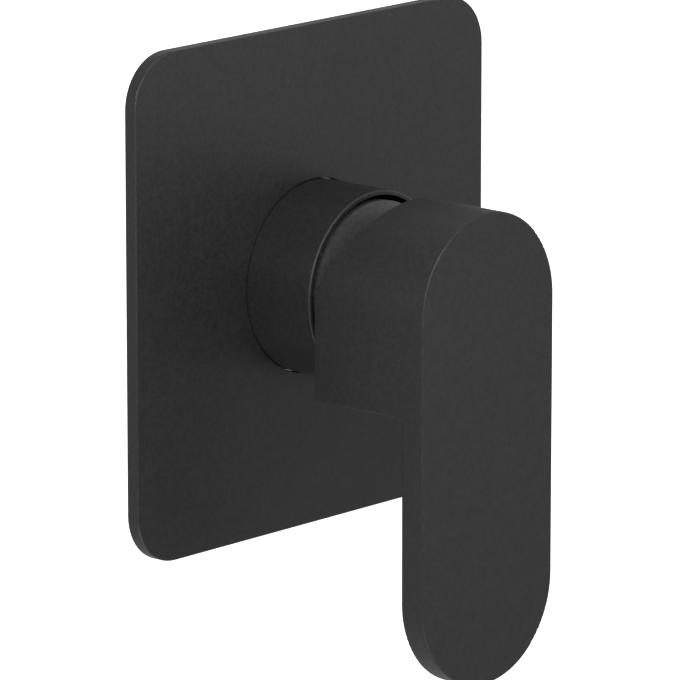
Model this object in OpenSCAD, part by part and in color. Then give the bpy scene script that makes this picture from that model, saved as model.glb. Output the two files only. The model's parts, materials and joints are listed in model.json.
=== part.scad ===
// Concealed single-lever shower mixer: wall trim, lever, ceramic cartridge and the brass body in the wall.
// Every module is drawn with X to the right, Y up and Z out of the wall, and the finished wall is at Z = 0.
// from_wall() then stands it up: +X right, +Y into the wall, +Z up, origin at the body's fixing plane.

/* [Wall plate] */
// Width of the plate
plate_w = 120; // [110:1:150]
// Height of the plate
plate_h = 120; // [110:1:150]
// Thickness of the plate at its edge
plate_t = 3.2; // [2.8:0.1:5]
// Radius of the plate's four corners
plate_corner_r = 12.5; // [6:0.5:20]
// Rounding of the plate's front edge
plate_edge_r = 0.4; // [0.3:0.1:1]
// Width of the rim round the recess in the plate's back
plate_rim = 2.6; // [2:0.1:6]
// Thickness left in front of that recess
plate_skin = 1.6; // [1.2:0.1:1.8]
// Width of the collar round the plate's hole
plate_collar = 4; // [3:0.1:6]
// Width of the flat gasket behind the plate
gasket_w = 9; // [5:0.5:14]

/* [Sleeve and dome cap] */
// Outer diameter of the sleeve
sleeve_d = 46; // [45:0.5:50]
// Wall of the sleeve
sleeve_wall = 1.1; // [0.9:0.1:1.3]
// Reach of the sleeve's front rim from the wall
sleeve_reach = 22.9; // [19:0.1:30]
// Length of the sleeve behind the wall
sleeve_behind = 8; // [5:0.5:10]
// Rounding of the sleeve's front rim
sleeve_edge_r = 0.45; // [0.2:0.05:0.6]
// Open ring between the sleeve and the dome cap
cap_ring_gap = 1.3; // [0.8:0.1:1.6]
// Wall of the dome cap
cap_wall = 1; // [0.8:0.1:1.2]
// Radius of the dome's ball surface
cap_ball_r = 60; // [50:1:90]
// Diameter of the hole that the stem passes
cap_hole_d = 20; // [19:0.5:22]

/* [Handle] */
// Width of the handle
handle_w = 45.6; // [44:0.2:50]
// Depth of the handle from its back edge to the paddle's front
handle_depth = 33.4; // [31:0.2:40]
// Gap between the sleeve's rim and the handle
handle_gap = 1.5; // [1.3:0.1:3]
// Thickness of the paddle
paddle_t = 6.5; // [4:0.1:8]
// Distance from the axis down to the centre of the paddle's lower arc
paddle_drop = 66.5; // [45:0.5:90]
// Distance from the axis down to the underside of the handle's body
body_drop = 22.9; // [22.5:0.1:28]
// Wall round the handle's cavity
handle_wall = 2.5; // [2.1:0.1:2.7]
// Thickness in front of that cavity
handle_front_wall = 5.3; // [3:0.1:7]
// Slope of the relief cut in the upper back
relief_angle = 25.8; // [25:0.1:35]
// Height above the axis at which the relief cut starts
relief_start = 1; // [0:0.1:1.5]
// Rounding of the paddle's edges
handle_edge_r = 0.4; // [0.2:0.05:1]
// Fillet between the body's underside and the paddle
fillet_r = 1.8; // [1:0.1:4]
// Diameter of the boss that takes the stem
boss_d = 14; // [13:0.5:16]
// Distance from the dome cap's top to that boss
boss_lift = 3.9; // [3.8:0.1:4.2]
// Width of the web that holds the set screw
web_w = 9; // [8:0.5:12]
// Thickness of the boss's two side ribs
rib_t = 3; // [2:0.1:5]
// Depth of those ribs from the cavity's floor
rib_depth = 8; // [4:0.5:12]

/* [Set screw] */
// Diameter of the set screw
screw_d = 5; // [4:0.5:6]
// Length of the set screw
screw_len = 8; // [6:0.5:9]
// Width across flats of its hexagon socket
screw_key = 2.5; // [2:0.1:3]
// Diameter of the cover plug in the handle's underside
cover_d = 7; // [6.5:0.1:8]
// Thickness of the cover plug's head
cover_t = 1.6; // [1:0.1:2.5]
// Depth of the cover plug below the handle's underside
cover_recess = 0.2; // [0.1:0.05:0.4]

/* [Stem] */
// Width of the square stem
stem_w = 7; // [6:0.5:8]
// Length of stem inside the handle's boss
stem_grip = 10.5; // [9:0.5:12]
// Depth of the pivot behind the sleeve's rim
pivot_depth = 7.9; // [7:0.1:8.5]
// Diameter of the pivot pin
pin_d = 3; // [2:0.1:3.5]
// Thickness of the stem's neck below the pivot
stem_neck_t = 3.2; // [2.4:0.1:3.6]
// Diameter of the stem's foot
foot_d = 5.2; // [4.4:0.1:5.4]

/* [Motion] */
// Lift of the lever from closed to fully open, in degrees
lift_max = 22; // [15:1:23]
// Turn of the lever to each side, in degrees
turn_max = 45; // [30:1:50]

/* [Cartridge] */
// Diameter of the cartridge housing
cart_d = 35; // [34:0.1:36]
// Height of the cartridge from its foot to the shoulder under the nut
cart_h = 24; // [22:0.5:30]
// Wall of the housing
cart_wall = 3; // [2.6:0.1:3.2]
// Diameter of the rotor's collar
collar_d = 22; // [20:0.1:23]
// Diameter of the housing's neck
cart_neck_d = 29.2; // [28:0.1:30]
// Height of the neck above the shoulder
cart_neck_h = 8; // [7:0.1:8.5]
// Height of the rotor's collar above the neck
collar_rise = 2; // [1.5:0.1:2.5]
// Wall of the limit ring on the neck
ring_wall = 1.65; // [1.4:0.05:2]
// Height of the shoulder below the pivot
shoulder_drop = 5; // [4.5:0.1:6]
// Thickness of the housing's roof
roof_t = 1.7; // [1.4:0.1:2.2]
// Thickness of the rotor's flange
rotor_flange_t = 1.6; // [1.2:0.1:2]
// Thickness of the disc carrier
carrier_t = 6; // [5:0.1:7]
// Thickness under the carrier's slot
carrier_floor = 1; // [0.6:0.1:1.6]
// Lip of the carrier round the moving disc
carrier_lip = 1.5; // [1:0.1:2.5]
// Thickness of each ceramic disc
disc_t = 3.5; // [3:0.1:4]
// Radius of the two keys that stop the fixed disc from turning
disc_key_r = 1.2; // [1:0.1:1.4]
// Thickness of the cartridge base's flange
base_flange_t = 2.5; // [2:0.1:3]
// Diameter of the ports through the cartridge
port_d = 4.2; // [3.6:0.1:4.6]
// Distance of the inlet ports from the middle, sideways
inlet_port_x = 6.2; // [6:0.1:6.4]
// Distance of the inlet ports below the axis
inlet_port_drop = 4.6; // [4.4:0.1:5]
// Distance of the outlet port above the axis
outlet_port_rise = 5.5; // [5:0.1:6]
// Wall of the port seals
seal_wall = 1.4; // [1:0.1:1.6]
// Height of the port seals
seal_h = 1.6; // [1.2:0.1:2]
// Diameter of the two locating pegs
peg_d = 4; // [3:0.1:5]
// Length of the locating pegs
peg_len = 3; // [2:0.1:4]

/* [Nut] */
// Wall of the nut's thread beyond the chamber
nut_step = 1.4; // [1:0.1:1.6]
// Depth of the nut's thread
nut_thread_h = 5; // [4:0.1:6]
// Height of the nut's collar, which the dome cap screws on
nut_collar_h = 3.4; // [2.5:0.1:4]
// Height of the nut's hexagon
nut_hex_h = 2.2; // [1.5:0.1:2.4]

/* [Mixer body] */
// Depth from the finished wall to the body's fixing plane
install_depth = 48; // [46:0.5:70]
// Height of the ports' axes above the fixing plane
port_standoff = 16; // [15.5:0.5:18]
// Distance from the axis to each port's mouth
port_reach = 36; // [34:0.5:45]
// Radius of the threaded port holes
port_r = 9.3; // [9:0.1:9.5]
// Depth of the threaded port holes
port_depth = 14; // [12:0.5:15]
// Outer diameter of the port bosses
port_boss_d = 27; // [25:0.5:30]
// Length of the eight-sided ends of the port bosses
port_end_len = 6; // [4:0.5:8]
// Radius of the inlet passages
inlet_r = 6.5; // [6:0.1:7]
// Radius of the outlet passage
outlet_r = 4; // [3.5:0.1:4.2]
// Offset of the outlet passage behind the inlets
outlet_offset = 3; // [2.6:0.1:4]
// Distance between the fixing holes
lug_pitch = 52; // [50:0.5:60]
// Diameter of the fixing holes
lug_hole_d = 5.5; // [4.5:0.1:6.5]
// Diameter of the fixing lugs
lug_d = 14; // [12:0.5:16]
// Thickness of the fixing lugs
lug_t = 4; // [3:0.1:6]
// Diameter of the foot in the middle of the fixing plane
foot_pad_d = 30; // [26:1:36]

/* [Outlet plug] */
// Diameter of the plug's head
plug_head_d = 25; // [23:0.5:26]
// Thickness of the plug's head
plug_head_t = 4; // [3:0.1:6]
// Length of the plug's thread
plug_thread_len = 9; // [7:0.5:10]
// Width across flats of the plug's hexagon socket
plug_key = 10; // [8:0.5:12]
// Depth of that socket
plug_key_depth = 6; // [5:0.5:8]
// Thickness of the plug's washer
plug_seal_t = 1.5; // [1:0.1:2]

/* [Round seals] */
// Thickness of the O-rings at the sleeve
o_ring_t = 1.6; // [1.4:0.1:1.7]
// Thickness of the O-ring at the rotor
rotor_ring_t = 1.2; // [1:0.1:1.3]

/* [Clearances] */
// Gap between pieces that don't guide each other
part_gap = 0.3; // [0.2:0.05:0.35]
// Gap between sliding faces, and of threads
slide_gap = 0.1; // [0.05:0.01:0.12]
// Gap round the pivot pin and at seals
fit_gap = 0.05; // [0.03:0.01:0.08]

/* [Hidden] */
$fn = 96;
eps = 0.01;

black = [0.07, 0.07, 0.075];
brass = [0.78, 0.6, 0.3];
steel = [0.7, 0.7, 0.72];
ceramic = [0.92, 0.9, 0.86];
white_plastic = [0.86, 0.86, 0.84];
grey_plastic = [0.5, 0.52, 0.54];
red_plastic = [0.72, 0.12, 0.1];
elastomer = [0.1, 0.1, 0.1];

// Radii of the trim round the axis
sleeve_r = sleeve_d / 2;
sleeve_in_r = sleeve_r - sleeve_wall;
body_neck_r = sleeve_in_r - slide_gap * 2;
cap_r = sleeve_in_r - cap_ring_gap;
cap_in_r = cap_r - cap_wall;
nut_collar_r = cap_in_r - slide_gap;
plate_hole_r = sleeve_r + part_gap;

// Heights out of the wall, from the sleeve's rim down to the cartridge's foot
pivot_n = sleeve_reach - pivot_depth;
cap_rim_n = sleeve_reach + slide_gap;
shoulder_n = pivot_n - shoulder_drop;
neck_top_n = shoulder_n + cart_neck_h;
collar_top_n = neck_top_n + collar_rise;
roof_n = shoulder_n - roof_t;
flange_bottom_n = roof_n - slide_gap - rotor_flange_t;
carrier_top_n = flange_bottom_n - slide_gap;
carrier_bottom_n = carrier_top_n - carrier_t;
moving_bottom_n = carrier_bottom_n - disc_t;
lapped_gap = 0.02;
seat_gap = 0.2;
fixed_top_n = moving_bottom_n - lapped_gap;
fixed_bottom_n = fixed_top_n - disc_t;
chamber_floor_n = shoulder_n - cart_h;
body_front_n = shoulder_n + nut_thread_h;

// Radii inside the cartridge
cart_r = cart_d / 2;
cart_in_r = cart_r - cart_wall;
chamber_r = cart_r + slide_gap;
nut_thread_r = chamber_r + nut_step - slide_gap;
collar_r = collar_d / 2;
rotor_flange_r = cart_in_r - part_gap;
disc_edge_r = cart_in_r - part_gap;
key_gap = 0.5;
peg_inset = 1;

// The stem's foot pushes the disc carrier across as the lever lifts
foot_r = foot_d / 2;
foot_w = stem_w - 1;
foot_n = carrier_bottom_n + carrier_floor + slide_gap + foot_r;
arm = pivot_n - foot_n;
travel = arm * sin(lift_max);
carrier_y = travel / 2;
carrier_r = cart_in_r - travel / 2 - part_gap - slide_gap;
flat_depth = 2;
carrier_flat = carrier_r - flat_depth;
lip_wall = 0.5;
disc_r = carrier_r - lip_wall - slide_gap;
disc_flat = carrier_flat - lip_wall - slide_gap;

// The stem above and below its pivot
pin_inset = 0.4;
stem_half = stem_w / 2;
hub_r = stem_half + part_gap;
neck_half = stem_neck_t / 2;

// The handle's faces
handle_r = handle_w / 2;
handle_back = sleeve_reach + handle_gap;
handle_front = handle_back + handle_depth;
paddle_back = handle_front - paddle_t;
cavity_r = handle_r - handle_wall;
cavity_floor = handle_front - handle_front_wall;
cap_centre_n = cap_rim_n - sqrt(pow(cap_ball_r, 2) - pow(cap_r, 2));
cap_top_n = cap_centre_n + cap_ball_r;
boss_back = cap_top_n + boss_lift;
stem_top = boss_back + stem_grip;
screw_lift = 0.7;
screw_n = boss_back + stem_grip / 2 + screw_lift;
cover_r = cover_d / 2;
cover_top_y = -body_drop + cover_t + cover_recess;

// The brass body in the wall
ports_n = -install_depth + port_standoff;
boss_r = port_boss_d / 2;
lug_xy = lug_pitch / 2;
passage_end = outlet_r + 2;
port_end_step = 1.6;
edge_cut = 0.8;

module from_wall() {
    translate([0, -install_depth, 0]) rotate([90, 0, 0]) children();
}

// Extrudes an outline in (up, out of the wall) along X, centred
module across(width) {
    rotate([90, 0, 90]) translate([0, 0, -width / 2]) linear_extrude(width) children();
}

module tube(r_out, r_in, low, high) {
    translate([0, 0, low]) difference() {
        cylinder(r = r_out, h = high - low);
        translate([0, 0, -1]) cylinder(r = r_in, h = high - low + 2);
    }
}

module disc(r, low, high) {
    translate([0, 0, low]) cylinder(r = r, h = high - low);
}

module o_ring(centre_r, thickness, height) {
    rotate_extrude() translate([centre_r, height]) circle(d = thickness, $fn = 48);
}

// Takes away what lies outside a rounded edge whose corner is at the origin, with the body at -X -Y
module edge_cutter(r) {
    difference() {
        translate([-r, -r]) square(r + 1);
        translate([-r, -r]) circle(r, $fn = 48);
    }
}

// Half of a slab's cross-section: x outwards, y from its back to its front, with rounded edges
module slab_half(half, thickness, front_r, back_r) {
    difference() {
        square([half, thickness]);
        translate([half, thickness]) edge_cutter(front_r);
        if (back_r > 0) translate([half, 0]) mirror([0, 1]) edge_cutter(back_r);
    }
}

// A flat slab with round corners and a rounded front edge, standing on Z = 0
module rounded_slab(w, h, t, corner, edge) {
    dx = w / 2 - corner;
    dy = h / 2 - corner;
    for (i = [0:3]) {
        cx = (i == 0 || i == 3) ? dx : -dx;
        cy = (i < 2) ? dy : -dy;
        translate([cx, cy, 0]) rotate([0, 0, 90 * i]) rotate_extrude(angle = 90)
            slab_half(corner, t, edge, 0);
    }
    for (side = [0, 1]) {
        rotate([0, 0, 180 * side]) {
            translate([dx, dy, 0]) rotate([90, 0, 0]) linear_extrude(2 * dy)
                slab_half(corner, t, edge, 0);
            translate([-dx, dy, 0]) rotate([90, 0, 90]) linear_extrude(2 * dx)
                slab_half(corner, t, edge, 0);
        }
    }
    translate([-dx, -dy, 0]) cube([2 * dx, 2 * dy, t]);
}

module round_square(w, h, corner, t) {
    translate([-w / 2 + corner, -h / 2, 0]) cube([w - 2 * corner, h, t]);
    translate([-w / 2, -h / 2 + corner, 0]) cube([w, h - 2 * corner, t]);
    for (sx = [-1, 1], sy = [-1, 1])
        translate([sx * (w / 2 - corner), sy * (h / 2 - corner), 0]) cylinder(r = corner, h = t);
}

// The three water ways that the base, its seals and the fixed disc share
module at_ports() {
    for (sx = [-1, 1]) translate([sx * inlet_port_x, -inlet_port_drop, 0]) children();
    translate([0, outlet_port_rise, 0]) children();
}

module wall_plate() {
    recess = plate_t - plate_skin;
    inner_w = plate_w - 2 * plate_rim;
    inner_h = plate_h - 2 * plate_rim;
    groove_low = (plate_t - o_ring_t) / 2 - fit_gap;
    color(black) from_wall() difference() {
        union() {
            difference() {
                rounded_slab(plate_w, plate_h, plate_t, plate_corner_r, plate_edge_r);
                translate([0, 0, -1])
                    round_square(inner_w, inner_h, max(plate_corner_r - plate_rim, 1), recess + 1);
            }
            disc(plate_hole_r + plate_collar, 0, recess + eps);
        }
        disc(plate_hole_r, -1, plate_t + 1);
        disc(sleeve_r + o_ring_t + 2 * fit_gap, groove_low, groove_low + o_ring_t + 2 * fit_gap);
    }
}

module plate_gasket() {
    w = plate_w - 2 * plate_rim - 2 * part_gap;
    h = plate_h - 2 * plate_rim - 2 * part_gap;
    corner = max(plate_corner_r - plate_rim - part_gap, 1);
    t = plate_t - plate_skin;
    color(elastomer) from_wall() difference() {
        round_square(w, h, corner, t);
        translate([0, 0, -1])
            round_square(w - 2 * gasket_w, h - 2 * gasket_w, max(corner - gasket_w / 2, 1), t + 2);
    }
}

module plate_o_ring() {
    color(elastomer) from_wall() o_ring(sleeve_r + fit_gap + o_ring_t / 2, o_ring_t, plate_t / 2);
}

module sleeve() {
    color(black) from_wall() rotate_extrude() difference() {
        translate([sleeve_in_r, -sleeve_behind]) square([sleeve_wall, sleeve_reach + sleeve_behind]);
        translate([sleeve_r, sleeve_reach]) edge_cutter(sleeve_edge_r);
        translate([sleeve_in_r, -sleeve_behind])
            polygon([[-1, -1], [sleeve_wall / 2, -1], [sleeve_wall / 2, 0], [0, 1], [-1, 1]]);
    }
}

module neck_o_ring() {
    color(elastomer) from_wall() o_ring(sleeve_in_r - fit_gap - o_ring_t / 2, o_ring_t, neck_ring_n());
}

function neck_ring_n() = -sleeve_behind / 2;

module dome_cap() {
    skirt_n = body_front_n + 2 * part_gap;
    color(black) from_wall() rotate_extrude() {
        intersection() {
            difference() {
                translate([0, cap_centre_n]) circle(cap_ball_r, $fn = 360);
                translate([0, cap_centre_n]) circle(cap_ball_r - cap_wall, $fn = 360);
            }
            translate([cap_hole_d / 2, cap_rim_n - 3]) square([cap_r - cap_hole_d / 2, cap_ball_r]);
        }
        intersection() {
            translate([cap_in_r, skirt_n]) square([cap_wall, cap_rim_n]);
            translate([0, cap_centre_n]) circle(cap_ball_r, $fn = 360);
        }
    }
}

module cartridge_nut() {
    bore_r = cart_neck_d / 2 + part_gap;
    hex_step = 0.4;
    hex_r = nut_collar_r - hex_step;
    collar_low = body_front_n + seat_gap;
    color(brass) from_wall() difference() {
        union() {
            disc(nut_thread_r, shoulder_n, collar_low + eps);
            disc(nut_collar_r, collar_low, collar_low + nut_collar_h);
            translate([0, 0, collar_low + nut_collar_h - eps]) cylinder(r = hex_r, h = nut_hex_h, $fn = 6);
        }
        disc(bore_r, shoulder_n - 1, body_front_n + 20);
    }
}

module cartridge_housing() {
    bore_r = collar_r + slide_gap;
    color(white_plastic) from_wall() difference() {
        union() {
            disc(cart_r, chamber_floor_n + base_flange_t, shoulder_n);
            disc(cart_neck_d / 2, shoulder_n - eps, neck_top_n);
        }
        disc(cart_in_r, chamber_floor_n, roof_n);
        disc(bore_r, roof_n - 1, neck_top_n + 1);
    }
}

module cartridge_base() {
    spigot_r = cart_in_r - slide_gap;
    seal_r = port_d / 2 + part_gap + seal_wall;
    color(grey_plastic) from_wall() {
        difference() {
            union() {
                disc(cart_r, chamber_floor_n, chamber_floor_n + base_flange_t);
                disc(spigot_r, chamber_floor_n, fixed_bottom_n);
            }
            at_ports() {
                disc(port_d / 2, chamber_floor_n - 1, fixed_bottom_n + 1);
                disc(seal_r + fit_gap, chamber_floor_n - 1, chamber_floor_n + seal_h);
                disc(seal_r + fit_gap, fixed_bottom_n - seal_h, fixed_bottom_n + 1);
            }
        }
        for (sx = [-1, 1])
            translate([sx * peg_x(), 0, 0])
                disc(peg_d / 2, chamber_floor_n - peg_len, chamber_floor_n + eps);
        intersection() {
            disc(spigot_r, fixed_bottom_n - eps, fixed_top_n - key_gap);
            for (sx = [-1, 1])
                translate([sx * disc_edge_r, 0, 0]) disc(disc_key_r, fixed_bottom_n - eps, fixed_top_n);
        }
    }
}

function peg_x() = cart_in_r - peg_d / 2 + peg_inset;

module seal_set(low) {
    at_ports() tube(port_d / 2 + part_gap + seal_wall, port_d / 2 + part_gap, low, low + seal_h);
}

module base_seals() {
    color(elastomer) from_wall() seal_set(chamber_floor_n);
}

module disc_seals() {
    color(elastomer) from_wall() seal_set(fixed_bottom_n - seal_h);
}

module fixed_disc() {
    color(ceramic) from_wall() difference() {
        disc(disc_edge_r, fixed_bottom_n, fixed_top_n);
        at_ports() disc(port_d / 2, fixed_bottom_n - 1, fixed_top_n + 1);
        for (sx = [-1, 1])
            translate([sx * disc_edge_r, 0, 0])
                disc(disc_key_r + slide_gap, fixed_bottom_n - 1, fixed_top_n + 1);
    }
}

// Angle from the top to each end of the rotor's stop tab, and to the limit ring's stops
tab_half = 20;
stop_angle = tab_half + turn_max + 2;
ring_in_r = cart_neck_d / 2 - ring_wall;
tab_gap = 0.15;
tab_r = ring_in_r - tab_gap;

module limit_ring() {
    ring_h = collar_rise + seat_gap;
    stop_r = collar_r + part_gap;
    color(red_plastic) from_wall() translate([0, 0, neck_top_n]) {
        tube(cart_neck_d / 2, ring_in_r, 0, ring_h);
        rotate([0, 0, 90 + stop_angle]) rotate_extrude(angle = 360 - 2 * stop_angle)
            translate([stop_r, 0]) square([ring_in_r - stop_r + tab_gap, ring_h]);
    }
}

// Round bar between two heights with a chamfer round its top edge
module chamfered_disc(r, low, high, cut, drop) {
    disc(r, low, high - cut);
    translate([0, 0, high - cut]) cylinder(r1 = r, r2 = r - drop, h = cut);
}

// Eight-sided end of a port boss, whose mouth is at Z = 0
module port_end() {
    corner_r = boss_r + port_end_step;
    turned_r = corner_r + edge_cut / 4;
    intersection() {
        translate([0, 0, -port_end_len]) rotate([0, 0, 22.5])
            cylinder(r = corner_r, h = port_end_len, $fn = 8);
        chamfered_disc(turned_r, -port_end_len - 1, 0, edge_cut, 2 * edge_cut);
    }
}

module body_casting() {
    disc(body_neck_r, ports_n, body_front_n);
    disc(foot_pad_d / 2, -install_depth, ports_n + eps);
    for (turn = [0, 90]) rotate([0, 0, turn]) {
        translate([-port_reach, 0, ports_n]) rotate([0, 90, 0]) cylinder(r = boss_r, h = 2 * port_reach);
        for (side = [-1, 1])
            translate([side * port_reach, 0, ports_n]) rotate([0, side * 90, 0]) port_end();
    }
    translate([0, 0, -install_depth]) for (turn = [45, 135]) rotate([0, 0, turn]) {
        arm_half = lug_xy * sqrt(2);
        translate([-arm_half, -lug_d / 2, 0]) cube([2 * arm_half, lug_d, lug_t]);
        for (side = [-1, 1]) translate([side * arm_half, 0, 0]) cylinder(d = lug_d, h = lug_t);
    }
}

module body_bores() {
    disc(chamber_r, chamber_floor_n, body_front_n + 1);
    disc(nut_thread_r + slide_gap, shoulder_n - 0.5, body_front_n + 1);
    // Passages from the cartridge's ports to the pipes
    for (sx = [-1, 1]) {
        translate([sx * inlet_port_x, -inlet_port_drop, 0])
            disc(port_d / 2, ports_n + 2, chamber_floor_n + 1);
        translate([0, 0, ports_n]) rotate([0, sx * 90, 0]) {
            translate([0, 0, passage_end]) cylinder(r = inlet_r, h = port_reach);
            translate([0, 0, port_reach - port_depth]) cylinder(r = port_r, h = port_depth + 1);
        }
    }
    translate([0, outlet_port_rise, 0]) disc(port_d / 2, ports_n - outlet_offset, chamber_floor_n + 1);
    translate([0, -port_reach - 1, ports_n - outlet_offset]) rotate([-90, 0, 0])
        cylinder(r = outlet_r, h = 2 * port_reach + 2);
    for (up = [0, 180]) rotate([0, 0, up]) translate([0, port_reach - port_depth, ports_n])
        rotate([-90, 0, 0]) cylinder(r = port_r, h = port_depth + 1);
    // Holes for the cartridge's pegs
    for (sx = [-1, 1])
        translate([sx * peg_x(), 0, 0])
            disc(peg_d / 2 + part_gap, chamber_floor_n - peg_len - 0.5, chamber_floor_n + 1);
    // Groove for the sleeve's O-ring
    groove = o_ring_t + 2 * fit_gap;
    tube(body_neck_r + 1, sleeve_in_r - groove, neck_ring_n() - groove / 2, neck_ring_n() + groove / 2);
    for (sx = [-1, 1], sy = [-1, 1])
        translate([sx * lug_xy, sy * lug_xy, 0])
            disc(lug_hole_d / 2, -install_depth - 1, -install_depth + lug_t + 1);
}

module mixer_body() {
    color(brass) from_wall() difference() {
        body_casting();
        body_bores();
    }
}

// Stands a piece in the lower port, with its own +Z pointing down out of the port's mouth
module at_lower_port() {
    translate([0, -port_reach, ports_n]) rotate([90, 0, 0]) children();
}

module outlet_plug() {
    color(brass) from_wall() at_lower_port() difference() {
        union() {
            disc(port_r - fit_gap, -plug_thread_len, plug_seal_t + eps);
            chamfered_disc(plug_head_d / 2, plug_seal_t, plug_seal_t + plug_head_t, edge_cut, edge_cut);
        }
        translate([0, 0, plug_seal_t + plug_head_t - plug_key_depth])
            cylinder(r = plug_key / sqrt(3), h = plug_key_depth + 1, $fn = 6);
    }
}

module plug_seal() {
    color(elastomer) from_wall() at_lower_port()
        tube(plug_head_d / 2 - part_gap, port_r + part_gap, 0, plug_seal_t);
}

// Distance across the axis of a line through the pivot, tilted as far as the lever lifts
function sway(n) = (n - pivot_n) * tan(lift_max);

// Room for the stem between closed and fully open
module stem_window() {
    top = collar_top_n + 1;
    bottom = flange_bottom_n - 1;
    high_y = sway(top) + stem_half / cos(lift_max) + part_gap;
    foot_y = travel + foot_r + part_gap;
    across(stem_w + 2 * slide_gap)
        polygon([
            [-foot_y, bottom], [-hub_r - part_gap, pivot_n - hub_r], [-hub_r - part_gap, pivot_n],
            [-stem_half - part_gap, top], [high_y, top], [hub_r + part_gap, pivot_n],
            [hub_r + part_gap, pivot_n - hub_r], [foot_r + part_gap, bottom]
        ]);
}

function rotor_ring_n() = pivot_n - shoulder_drop + rotor_ring_t / 2 + fit_gap;

module rotor() {
    groove = rotor_ring_t + 2 * fit_gap;
    rail_n = carrier_bottom_n;
    color(white_plastic) from_wall() difference() {
        union() {
            disc(collar_r, flange_bottom_n, collar_top_n);
            disc(rotor_flange_r, flange_bottom_n, flange_bottom_n + rotor_flange_t);
            translate([0, 0, neck_top_n + seat_gap]) rotate([0, 0, 90 - tab_half])
                rotate_extrude(angle = 2 * tab_half)
                    translate([collar_r - 1, 0]) square([tab_r - collar_r + 1, collar_rise - seat_gap]);
            difference() {
                disc(rotor_flange_r, rail_n, flange_bottom_n + eps);
                translate([-carrier_flat - slide_gap, -cart_r, rail_n - 1])
                    cube([2 * (carrier_flat + slide_gap), cart_d, flange_bottom_n - rail_n + 2]);
            }
        }
        stem_window();
        translate([-cart_r, 0, pivot_n]) rotate([0, 90, 0]) cylinder(d = pin_d + slide_gap / 2, h = cart_d);
        tube(collar_r + 1, collar_r + slide_gap - groove, rotor_ring_n() - groove / 2,
            rotor_ring_n() + groove / 2);
    }
}

module rotor_o_ring() {
    color(elastomer) from_wall()
        o_ring(collar_r + slide_gap - fit_gap - rotor_ring_t / 2, rotor_ring_t, rotor_ring_n());
}

module pivot_pin() {
    len = 2 * (collar_r - pin_inset);
    color(steel) from_wall() translate([-len / 2, 0, pivot_n]) rotate([0, 90, 0])
        cylinder(d = pin_d, h = len);
}

// Outline of the carrier or of the disc under it: a circle with two flats
module flatted_disc(r, flat, low, high) {
    intersection() {
        disc(r, low, high);
        translate([-flat, -r - 1, low]) cube([2 * flat, 2 * r + 2, high - low]);
    }
}

module disc_carrier() {
    slot_x = foot_w / 2 + slide_gap;
    slot_y = foot_r + slide_gap;
    color(grey_plastic) from_wall() difference() {
        translate([0, carrier_y, 0]) difference() {
            flatted_disc(carrier_r, carrier_flat, carrier_bottom_n - carrier_lip, carrier_top_n);
            flatted_disc(carrier_r - lip_wall, carrier_flat - lip_wall, carrier_bottom_n - carrier_lip - 1,
                carrier_bottom_n);
        }
        translate([-slot_x, -slot_y, carrier_bottom_n + carrier_floor])
            cube([2 * slot_x, 2 * slot_y, carrier_t]);
    }
}

module moving_disc() {
    pocket_reach = 3.2;
    pocket_wall = 2;
    pocket_over = 1.5;
    pocket_low = carrier_y - pocket_reach;
    pocket_high = outlet_port_rise + port_d / 2 + pocket_over;
    pocket_half = disc_flat - pocket_wall;
    color(ceramic) from_wall() difference() {
        translate([0, carrier_y, 0]) flatted_disc(disc_r, disc_flat, moving_bottom_n, carrier_bottom_n);
        translate([-pocket_half, pocket_low, moving_bottom_n - 1])
            cube([2 * pocket_half, pocket_high - pocket_low, 1 + disc_t / 2]);
    }
}

module stem() {
    chamfer = 0.6;
    color(steel) from_wall() difference() {
        union() {
            across(stem_w) union() {
                polygon([
                    [-stem_half, pivot_n], [-stem_half, stem_top - chamfer],
                    [-stem_half + chamfer, stem_top], [stem_half - chamfer, stem_top],
                    [stem_half, stem_top - chamfer], [stem_half, pivot_n]
                ]);
                translate([0, pivot_n]) circle(hub_r);
            }
            across(foot_w) union() {
                translate([-neck_half, foot_n]) square([stem_neck_t, arm]);
                translate([0, foot_n]) circle(foot_r);
            }
        }
        translate([-stem_w, 0, pivot_n]) rotate([0, 90, 0])
            cylinder(d = pin_d + 2 * fit_gap, h = 2 * stem_w);
    }
}

// Cross-section of the handle's body: a half circle over a square skirt with small round corners
module body_outline() {
    intersection() {
        circle(handle_r);
        translate([-handle_r, 0]) square([handle_w, handle_r]);
    }
    translate([-handle_r, -body_drop + handle_edge_r]) square([handle_w, body_drop - handle_edge_r]);
    translate([-handle_r + handle_edge_r, -body_drop])
        square([handle_w - 2 * handle_edge_r, handle_edge_r]);
    for (sx = [-1, 1])
        translate([sx * (handle_r - handle_edge_r), -body_drop + handle_edge_r])
            circle(handle_edge_r, $fn = 48);
}

// The paddle's straight stretch between two distances below the axis
module paddle_length(high, low, back_r) {
    translate([0, -low, 0]) rotate([90, 0, 180]) linear_extrude(low - high) {
        slab_half(handle_r, paddle_t, handle_edge_r, back_r);
        mirror([1, 0]) slab_half(handle_r, paddle_t, handle_edge_r, back_r);
    }
}

module paddle() {
    translate([0, 0, paddle_back]) {
        rotate_extrude(angle = 180) slab_half(handle_r, paddle_t, handle_edge_r, 0);
        translate([0, -paddle_drop, 0]) rotate([0, 0, 180]) rotate_extrude(angle = 180)
            slab_half(handle_r, paddle_t, handle_edge_r, handle_edge_r);
        paddle_length(0, body_drop, 0);
        paddle_length(body_drop, paddle_drop, handle_edge_r);
    }
}

module underside_fillet() {
    difference() {
        translate([-handle_r, -body_drop - fillet_r, paddle_back - fillet_r])
            cube([handle_w, fillet_r + 1, fillet_r + handle_edge_r]);
        translate([-handle_w, -body_drop - fillet_r, paddle_back - fillet_r]) rotate([0, 90, 0])
            cylinder(r = fillet_r, h = 2 * handle_w);
    }
}

module relief_cut() {
    translate([0, relief_start, handle_back]) rotate([relief_angle, 0, 0])
        translate([-handle_w, 0, -handle_w]) cube([2 * handle_w, 2 * handle_w, handle_w]);
}

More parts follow.
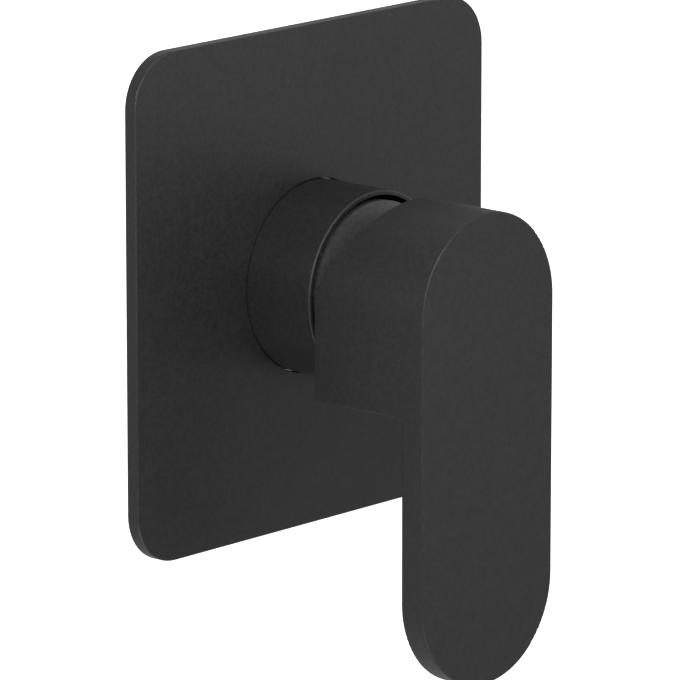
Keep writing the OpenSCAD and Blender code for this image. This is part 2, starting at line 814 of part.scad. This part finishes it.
module stem_boss() {
    disc(boss_d / 2, boss_back, cavity_floor + eps);
    translate([-web_w / 2, -body_drop + handle_wall / 2, screw_n - web_w / 2])
        cube([web_w, body_drop - handle_wall / 2, cavity_floor - screw_n + web_w / 2]);
    translate([-cavity_r - 0.5, -rib_t / 2, cavity_floor - rib_depth])
        cube([2 * cavity_r + 1, rib_t, rib_depth + eps]);
    translate([-rib_t / 2, 0, cavity_floor - rib_depth]) cube([rib_t, cavity_r + 0.5, rib_depth + eps]);
}

module handle() {
    socket = stem_w + 2 * slide_gap;
    color(black) from_wall() difference() {
        union() {
            difference() {
                union() {
                    translate([0, 0, handle_back]) linear_extrude(handle_depth - paddle_t) body_outline();
                    paddle();
                    underside_fillet();
                }
                disc(cavity_r, handle_back - 1, cavity_floor);
            }
            stem_boss();
        }
        relief_cut();
        translate([-socket / 2, -socket / 2, boss_back - 1])
            cube([socket, socket, stem_grip + 1.5]);
        translate([0, 0, screw_n]) rotate([90, 0, 0]) {
            cylinder(d = screw_d + slide_gap, h = body_drop + 1);
            translate([0, 0, -cover_top_y]) cylinder(r = cover_r + slide_gap, h = body_drop);
        }
    }
}

module handle_screw() {
    tip_y = stem_half + fit_gap;
    tip_h = 0.8;
    color(steel) from_wall() translate([0, -tip_y, screw_n]) rotate([90, 0, 0]) difference() {
        union() {
            cylinder(d1 = screw_d - 2 * tip_h, d2 = screw_d, h = tip_h);
            translate([0, 0, tip_h - eps]) cylinder(d = screw_d, h = screw_len - tip_h + eps);
        }
        translate([0, 0, screw_len - screw_key])
            cylinder(r = screw_key / sqrt(3), h = screw_key + 1, $fn = 6);
    }
}

module screw_cover() {
    stub = 3;
    slit = 0.8;
    color(black) from_wall() translate([0, cover_top_y, screw_n]) rotate([90, 0, 0]) {
        cylinder(r = cover_r, h = cover_t);
        translate([0, 0, -stub]) difference() {
            cylinder(d = screw_d - slide_gap, h = stub + eps);
            translate([-screw_d, -slit / 2, -1]) cube([2 * screw_d, slit, stub]);
        }
    }
}

wall_plate();
plate_gasket();
plate_o_ring();
sleeve();
neck_o_ring();
dome_cap();
cartridge_nut();
cartridge_housing();
cartridge_base();
base_seals();
disc_seals();
fixed_disc();
limit_ring();
mixer_body();
outlet_plug();
plug_seal();
rotor();
rotor_o_ring();
pivot_pin();
disc_carrier();
moving_disc();
stem();
handle();
handle_screw();
screw_cover();
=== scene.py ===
"""Looks for the concealed shower mixer: black trim and lever, cast brass body, white studio light."""

import json
import math

import bpy
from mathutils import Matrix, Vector


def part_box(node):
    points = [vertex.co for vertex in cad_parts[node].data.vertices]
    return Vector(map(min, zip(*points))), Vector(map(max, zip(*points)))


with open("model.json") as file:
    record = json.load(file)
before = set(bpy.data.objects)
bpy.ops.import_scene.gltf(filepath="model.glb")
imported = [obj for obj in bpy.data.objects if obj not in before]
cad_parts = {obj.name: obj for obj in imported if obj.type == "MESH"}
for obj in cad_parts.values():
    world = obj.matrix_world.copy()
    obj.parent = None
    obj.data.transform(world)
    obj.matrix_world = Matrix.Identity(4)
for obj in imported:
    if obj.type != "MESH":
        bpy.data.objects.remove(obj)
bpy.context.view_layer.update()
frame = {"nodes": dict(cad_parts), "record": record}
nodes = frame["nodes"]
scene = bpy.context.scene

MM_PER_M = 1000.0

# The photograph's camera, from a perspective fit of the trim's edges
CAMERA_AZIMUTH = math.radians(-47.689)
CAMERA_ELEVATION = math.radians(13.060)
CAMERA_DISTANCE = 1.560
CAMERA_AIM = Vector((-0.00383, -0.06302, -0.01315))
CAMERA_LENS = 352.80
CAMERA_SENSOR = 36.0
CAMERA_NEAR = 0.05
CAMERA_FAR = 20.0

# The finished wall's surface is where the plate's back lies
WALL_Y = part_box("wall_plate")[1].y

# Nearly all of a noise's values lie between these two
NOISE_LOW = 0.3
NOISE_HIGH = 0.7

# Shares of a coating's tone that its dark and light mottles have
DARK_MOTTLE = (0.79, 0.80, 0.83)
LIGHT_MOTTLE = (1.26, 1.27, 1.31)

# Painted shade darkens the brass neck inside the sleeve, standing in for its dark recess; it sets in
# between these distances in front of the wall
PAINTED_SHADE_START = 0.004
PAINTED_SHADE_END = 0.012
PAINTED_SHADE_TONE = 0.03

# Half-inch pipe thread in the side and upper ports
THREAD_PITCH = 0.001814
THREAD_HEIGHT = 0.0005
# What lies less than this outside the bore's radius is still the threaded wall
THREAD_SKIN = 0.0002

# A bright wall face whose opening lies just inside the plate's outline
WALL_GAP = 0.0001
WALL_INSET = 0.0004
WALL_CORNER = 0.0121
WALL_CORNER_STEPS = 12
WALL_REACH = 7.0
FLOOR_Z = -1.5
FLOOR_HALF = 4.0

# Name, azimuth and elevation in degrees, distance and size in metres, power in watts
LIGHTS = (
    ("key", -30.0, 25.0, 0.35, 0.24, 0.25),
    ("top", -10.0, 52.0, 0.35, 0.2, 0.22),
    ("side", -60.0, 25.0, 0.35, 0.2, 0.36),
    ("back_left", -110.0, 10.0, 1.2, 0.5, 8.0),
    ("low_left", -65.0, -58.0, 1.2, 0.4, 2.4),
    ("right", 75.0, 10.0, 0.35, 0.15, 0.06),
)
WORLD_STRENGTH = 0.48


def direction(azimuth, elevation):
    """Unit vector from the object towards a viewer at that azimuth and elevation."""
    return Vector((
        math.sin(azimuth) * math.cos(elevation),
        -math.cos(azimuth) * math.cos(elevation),
        math.sin(elevation),
    ))


def look_along(obj, back):
    """Turns a camera or light so that it looks against the direction called back."""
    obj.rotation_mode = "QUATERNION"
    obj.rotation_quaternion = (-back).to_track_quat("-Z", "Y")


def make_camera():
    back = direction(CAMERA_AZIMUTH, CAMERA_ELEVATION)
    data = bpy.data.cameras.new("camera")
    data.lens = CAMERA_LENS
    data.sensor_width = CAMERA_SENSOR
    data.clip_start = CAMERA_NEAR
    data.clip_end = CAMERA_FAR
    cam = bpy.data.objects.new("camera", data)
    cam.location = CAMERA_AIM + back * CAMERA_DISTANCE
    look_along(cam, back)
    scene.collection.objects.link(cam)
    scene.camera = cam


class Nodes:
    """A material's node tree with short calls for adding and joining nodes."""

    def __init__(self, name):
        self.material = bpy.data.materials.new(name)
        self.material.use_nodes = True
        self.tree = self.material.node_tree
        self.shader = self.tree.nodes["Principled BSDF"]

    def add(self, kind, **settings):
        node = self.tree.nodes.new(kind)
        for name, value in settings.items():
            setattr(node, name, value)
        return node

    def join(self, source, output, target, socket):
        self.tree.links.new(source.outputs[output], target.inputs[socket])

    def place(self):
        """Object coordinates, which are the frame's metres on every CAD node."""
        return self.add("ShaderNodeTexCoord")

    def noise(self, coords, scale, detail=4.0, roughness=0.55):
        node = self.add("ShaderNodeTexNoise")
        node.inputs["Scale"].default_value = scale
        node.inputs["Detail"].default_value = detail
        node.inputs["Roughness"].default_value = roughness
        self.join(coords, "Object", node, "Vector")
        return node

    def remap(self, source, output, low, high, to_low, to_high):
        node = self.add("ShaderNodeMapRange")
        node.inputs["From Min"].default_value = low
        node.inputs["From Max"].default_value = high
        node.inputs["To Min"].default_value = to_low
        node.inputs["To Max"].default_value = to_high
        self.join(source, output, node, "Value")
        return node

    def ramp(self, source, output, stops):
        node = self.add("ShaderNodeValToRGB")
        elements = node.color_ramp.elements
        while len(elements) < len(stops):
            elements.new(0.5)
        for element, (place, colour) in zip(elements, stops):
            element.position = place
            element.color = (*colour, 1.0)
        self.join(source, output, node, "Fac")
        return node

    def tones(self, noise, dark, light, low=NOISE_LOW, high=NOISE_HIGH):
        """Colour that follows a noise from dark to light."""
        return self.ramp(noise, "Fac", [(low, dark), (high, light)])

    def gloss(self, noise, smooth, rough, low=NOISE_LOW, high=NOISE_HIGH):
        """Roughness that follows a noise from smooth to rough."""
        return self.remap(noise, "Fac", low, high, smooth, rough)

    def math(self, operation, *values):
        """A math node on numbers, sockets or other math nodes."""
        node = self.add("ShaderNodeMath", operation=operation)
        for socket, value in zip(node.inputs, values):
            if isinstance(value, float):
                socket.default_value = value
            else:
                self.tree.links.new(value.outputs[0] if hasattr(value, "outputs") else value, socket)
        return node

    def bump(self, source, output, height, strength=1.0, below=None):
        node = self.add("ShaderNodeBump")
        node.inputs["Strength"].default_value = strength
        node.inputs["Distance"].default_value = height
        self.join(source, output, node, "Height")
        if below is not None:
            self.join(below, "Normal", node, "Normal")
        return node

    def wear(self, colour=None, rough=None, normal=None):
        """Joins the nodes that give colour, roughness and normal to the shader."""
        if colour is not None:
            self.join(colour, 0, self.shader, "Base Color")
        if rough is not None:
            self.join(rough, "Result", self.shader, "Roughness")
        if normal is not None:
            self.join(normal, "Normal", self.shader, "Normal")

    def metal(self):
        self.shader.inputs["Metallic"].default_value = 1.0


def grey(value):
    return (value, value, value)


def black_coating(name, tone, smooth):
    """Matte black coating on metal: a fine grain, mottled gloss and slight clouding."""
    m = Nodes(name)
    coords = m.place()
    grain = m.noise(coords, scale=2600.0, detail=3.0, roughness=0.6)
    mottle = m.noise(coords, scale=950.0, detail=3.0, roughness=0.6)
    cloud = m.noise(coords, scale=260.0, detail=4.0, roughness=0.6)
    dark = tuple(share * tone for share in DARK_MOTTLE)
    light = tuple(share * tone for share in LIGHT_MOTTLE)
    colour = m.tones(mottle, dark, light, low=0.32, high=0.68)
    rough = m.gloss(cloud, smooth, smooth + 0.08)
    fine = m.bump(grain, "Fac", height=0.00002, strength=0.5)
    coarse = m.bump(mottle, "Fac", height=0.00006, strength=0.5, below=fine)
    m.wear(colour, rough, coarse)
    return m.material


def black_plastic():
    m = Nodes("moulded_black_plastic")
    spark = m.noise(m.place(), scale=3200.0, detail=2.0)
    colour = m.tones(spark, grey(0.018), grey(0.026))
    rough = m.gloss(spark, 0.5, 0.62)
    m.wear(colour, rough, m.bump(spark, "Fac", height=0.00002, strength=0.5))
    return m.material


def port_threads(m, split):
    """Height of the threads on the ports' walls, and zero elsewhere."""
    port = next(mount for mount in frame["record"]["mounts"] if mount["name"] == "inlet_hot")
    wall_r = port["dims"]["r_mm"] / MM_PER_M + THREAD_SKIN
    port_half = port["dims"]["length_mm"] / (2 * MM_PER_M)
    first_turn = abs(port["pos_m"][0]) - port_half + THREAD_PITCH / 2
    x, y, z = split.outputs
    depth = m.math("SUBTRACT", y, float(port["pos_m"][1]))
    ridges = []
    for along, across in ((x, z), (z, x)):
        square = m.math("ADD", m.math("MULTIPLY", depth, depth), m.math("MULTIPLY", across, across))
        on_wall = m.math("LESS_THAN", square, wall_r * wall_r)
        past_start = m.math("GREATER_THAN", m.math("ABSOLUTE", along), first_turn)
        ridge = m.math("SINE", m.math("MULTIPLY", along, 2.0 * math.pi / THREAD_PITCH))
        ridges.append(m.math("MULTIPLY", ridge, m.math("MULTIPLY", on_wall, past_start)))
    return m.math("ADD", *ridges)


def cast_brass():
    """Sand-cast brass: granular skin, dull patches, and painted shade that darkens the neck inside the
    sleeve.
    """
    m = Nodes("cast_brass")
    coords = m.place()
    sand = m.noise(coords, scale=1500.0, detail=5.0, roughness=0.65)
    patch = m.noise(coords, scale=60.0, detail=4.0, roughness=0.6)
    dull = (0.52, 0.34, 0.13)
    plain = (0.66, 0.45, 0.19)
    bright = (0.73, 0.53, 0.26)
    colour = m.ramp(patch, "Fac", [(0.3, dull), (0.55, plain), (0.75, bright)])
    split = m.add("ShaderNodeSeparateXYZ")
    m.join(coords, "Object", split, "Vector")
    # Painted shade: the brass darkens with distance in front of the wall, so the neck inside the sleeve
    # reads as a shaded recess
    painted_shade = m.remap(split, "Y", WALL_Y - PAINTED_SHADE_END, WALL_Y - PAINTED_SHADE_START, PAINTED_SHADE_TONE, 1.0)
    tint = m.add("ShaderNodeVectorMath", operation="SCALE")
    m.join(colour, "Color", tint, 0)
    m.join(painted_shade, "Result", tint, "Scale")
    rough = m.gloss(sand, 0.38, 0.6, low=0.25, high=0.75)
    skin = m.bump(sand, "Fac", height=0.00012, strength=0.8)
    m.wear(tint, rough, m.bump(port_threads(m, split), 0, height=THREAD_HEIGHT, below=skin))
    m.metal()
    return m.material


def machined_brass():
    m = Nodes("machined_brass")
    coords = m.place()
    wave = m.add("ShaderNodeTexWave", wave_type="RINGS", rings_direction="Y")
    wave.inputs["Scale"].default_value = 1400.0
    wave.inputs["Distortion"].default_value = 0.4
    m.join(coords, "Object", wave, "Vector")
    tint = m.noise(coords, scale=80.0, detail=3.0)
    colour = m.tones(tint, (0.74, 0.53, 0.22), (0.84, 0.64, 0.31))
    rough = m.gloss(tint, 0.22, 0.34)
    m.wear(colour, rough, m.bump(wave, "Fac", height=0.00001, strength=0.6))
    m.metal()
    return m.material


def brushed_steel():
    m = Nodes("brushed_steel")
    stretch = m.add("ShaderNodeMapping")
    stretch.inputs["Scale"].default_value = (1.0, 0.05, 1.0)
    m.join(m.place(), "Object", stretch, "Vector")
    lines = m.add("ShaderNodeTexNoise")
    lines.inputs["Scale"].default_value = 2500.0
    m.join(stretch, "Vector", lines, "Vector")
    colour = m.tones(lines, grey(0.5), grey(0.66))
    rough = m.gloss(lines, 0.25, 0.4)
    m.wear(colour, rough, m.bump(lines, "Fac", height=0.00001, strength=0.4))
    m.metal()
    return m.material


def moulded(name, dark, light, roughness):
    """Injection-moulded plastic with a faint spark-eroded texture."""
    m = Nodes(name)
    spark = m.noise(m.place(), scale=2200.0, detail=3.0)
    colour = m.tones(spark, dark, light)
    rough = m.gloss(spark, roughness - 0.05, roughness + 0.06)
    m.wear(colour, rough, m.bump(spark, "Fac", height=0.000015, strength=0.4))
    return m.material


def rubber():
    m = Nodes("seal_rubber")
    dust = m.noise(m.place(), scale=900.0, detail=4.0)
    colour = m.tones(dust, grey(0.014), grey(0.028), low=0.35)
    rough = m.gloss(dust, 0.7, 0.9)
    m.wear(colour, rough, m.bump(dust, "Fac", height=0.00002, strength=0.4))
    m.shader.inputs["Specular IOR Level"].default_value = 0.2
    return m.material


def foam():
    """Closed-cell foam: small pores."""
    m = Nodes("gasket_foam")
    cells = m.add("ShaderNodeTexVoronoi")
    cells.inputs["Scale"].default_value = 1600.0
    m.join(m.place(), "Object", cells, "Vector")
    colour = m.ramp(cells, "Distance", [(0.1, grey(0.012)), (0.6, grey(0.045))])
    m.wear(colour, normal=m.bump(cells, "Distance", height=0.0001, strength=0.7))
    m.shader.inputs["Roughness"].default_value = 0.9
    return m.material


def fine_ceramic():
    m = Nodes("lapped_ceramic")
    fleck = m.noise(m.place(), scale=1200.0, detail=3.0)
    colour = m.tones(fleck, (0.8, 0.78, 0.72), (0.87, 0.86, 0.81))
    m.wear(colour, m.gloss(fleck, 0.18, 0.3))
    return m.material


def dress_nodes():
    """Gives every CAD node its material, by the record's slot or by the node's own material; the dome
    cap's lighter coating is painted light, and the body's brass carries painted shade.
    """
    by_slot = {
        "matte_black": black_coating("matte_black_coating", tone=0.018, smooth=0.37),
        "black_plastic": black_plastic(),
        "gasket_foam": foam(),
        "seal_rubber": rubber(),
        "raw_brass": machined_brass(),
        "steel": brushed_steel(),
        "disc_ceramic": fine_ceramic(),
        "white_plastic": moulded("white_plastic", grey(0.72), grey(0.8), roughness=0.42),
        "grey_plastic": moulded("grey_plastic", grey(0.18), grey(0.23), roughness=0.45),
        "red_plastic": moulded("red_plastic", (0.42, 0.02, 0.015), (0.5, 0.03, 0.02), roughness=0.4),
    }
    own = {
        "mixer_body": cast_brass(),
        # Painted light: the dome cap gets a lighter copy of the black coating, so the crescent between
        # sleeve and lever looks lit
        "dome_cap": black_coating("painted_light_black_coating", tone=0.05, smooth=0.32),
        "handle": black_coating("lever_black_coating", tone=0.0175, smooth=0.45),
    }
    for part in frame["record"]["subparts"]:
        node = nodes[part["node"]]
        material = own.get(part["node"], by_slot[part["material_slot"]])
        node.data.materials.clear()
        node.data.materials.append(material)


def plain_material(name, tone, glow):
    """Flat paint in one grey that also glows white."""
    m = Nodes(name)
    m.shader.inputs["Base Color"].default_value = (*grey(tone), 1.0)
    m.shader.inputs["Roughness"].default_value = 0.9
    m.shader.inputs["Emission Color"].default_value = (1.0, 1.0, 1.0, 1.0)
    m.shader.inputs["Emission Strength"].default_value = glow
    return m.material


def stage_mesh(name, corners, faces, material):
    mesh = bpy.data.meshes.new(name)
    mesh.from_pydata(corners, [], faces)
    mesh.materials.append(material)
    obj = bpy.data.objects.new(name, mesh)
    scene.collection.objects.link(obj)
    return obj


def rounded_square(half, corner, steps):
    """Corners (x, z) of a square with round corners, anticlockwise from the lower right."""
    points = []
    inner = half - corner
    centres = ((inner, -inner), (inner, inner), (-inner, inner), (-inner, -inner))
    for turn, (cx, cz) in enumerate(centres):
        for i in range(steps + 1):
            angle = math.radians(90.0 * (turn - 1 + i / steps))
            points.append((cx + corner * math.cos(angle), cz + corner * math.sin(angle)))
    return points


def make_wall():
    """The wall face hides the body from the room, and its opening shows the plate's back from behind."""
    low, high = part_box("wall_plate")
    y = high.y + WALL_GAP
    mid_x, mid_z = (low.x + high.x) / 2, (low.z + high.z) / 2
    ring = rounded_square((high.x - low.x) / 2 - WALL_INSET, WALL_CORNER, WALL_CORNER_STEPS)
    count = len(ring)
    corners = [(mid_x + x, y, mid_z + z) for x, z in ring]
    corners += [(mid_x + WALL_REACH * x, y, mid_z + WALL_REACH * z) for x, z in ring]
    faces = [(i, (i + 1) % count, count + (i + 1) % count, count + i) for i in range(count)]
    wall = stage_mesh("wall", corners, faces, plain_material("white_wall", tone=0.8, glow=1.0))
    wall.visible_diffuse = False
    wall.visible_glossy = False


def make_floor():
    h = FLOOR_HALF
    corners = [(-h, -h, FLOOR_Z), (h, -h, FLOOR_Z), (h, h, FLOOR_Z), (-h, h, FLOOR_Z)]
    stage_mesh("floor", corners, [(0, 1, 2, 3)], plain_material("pale_floor", tone=0.85, glow=0.1))


def area_light(name, azimuth, elevation, distance, size, power):
    """A soft round light that looks at the trim from the given direction."""
    data = bpy.data.lights.new(name, "AREA")
    data.shape = "DISK"
    data.size = size
    data.energy = power
    light = bpy.data.objects.new(name, data)
    back = direction(math.radians(azimuth), math.radians(elevation))
    light.location = Vector((0.0, WALL_Y, 0.0)) + back * distance
    look_along(light, back)
    scene.collection.objects.link(light)


def make_light():
    world = bpy.data.worlds.new("studio")
    scene.world = world
    world.use_nodes = True
    background = world.node_tree.nodes["Background"]
    background.inputs["Color"].default_value = (1.0, 1.0, 1.0, 1.0)
    background.inputs["Strength"].default_value = WORLD_STRENGTH
    for light in LIGHTS:
        area_light(*light)


make_camera()
dress_nodes()
make_wall()
make_floor()
make_light()
scene.view_settings.view_transform = "Standard"
